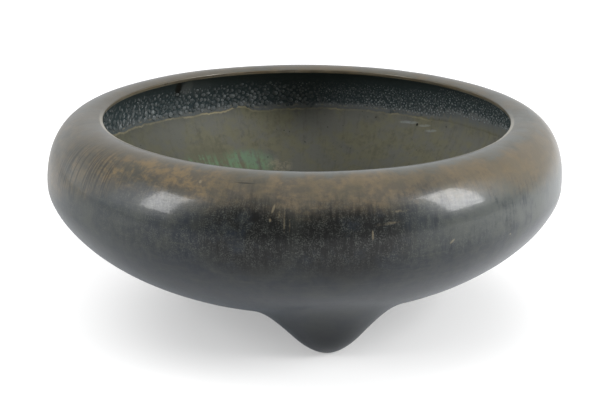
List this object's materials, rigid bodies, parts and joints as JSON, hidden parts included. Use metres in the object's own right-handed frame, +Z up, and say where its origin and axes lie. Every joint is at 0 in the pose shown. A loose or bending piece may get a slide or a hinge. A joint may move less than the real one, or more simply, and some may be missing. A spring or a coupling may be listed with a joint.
{
  "type": "bronze tripod jardiniere",
  "caption": "Squat wide-bellied bronze planter bowl with a narrowed mouth and short hollow domed feet, cast in one piece, dark worn patina.",
  "frame": {"origin": "on the surface the feet stand on, below the middle of the bowl", "axes": "+Z up out of the mouth, -Y towards the side that the front foot is on, +X to the right as seen from there"},
  "size_m": [0.42, 0.4196, 0.16],
  "materials": {
    "bronze": "cast bronze with a dark brown patina, satin where rubbed"
  },
  "bodies": {
    "root": {"jardiniere": "bronze"}
  },
  "joints": []
}
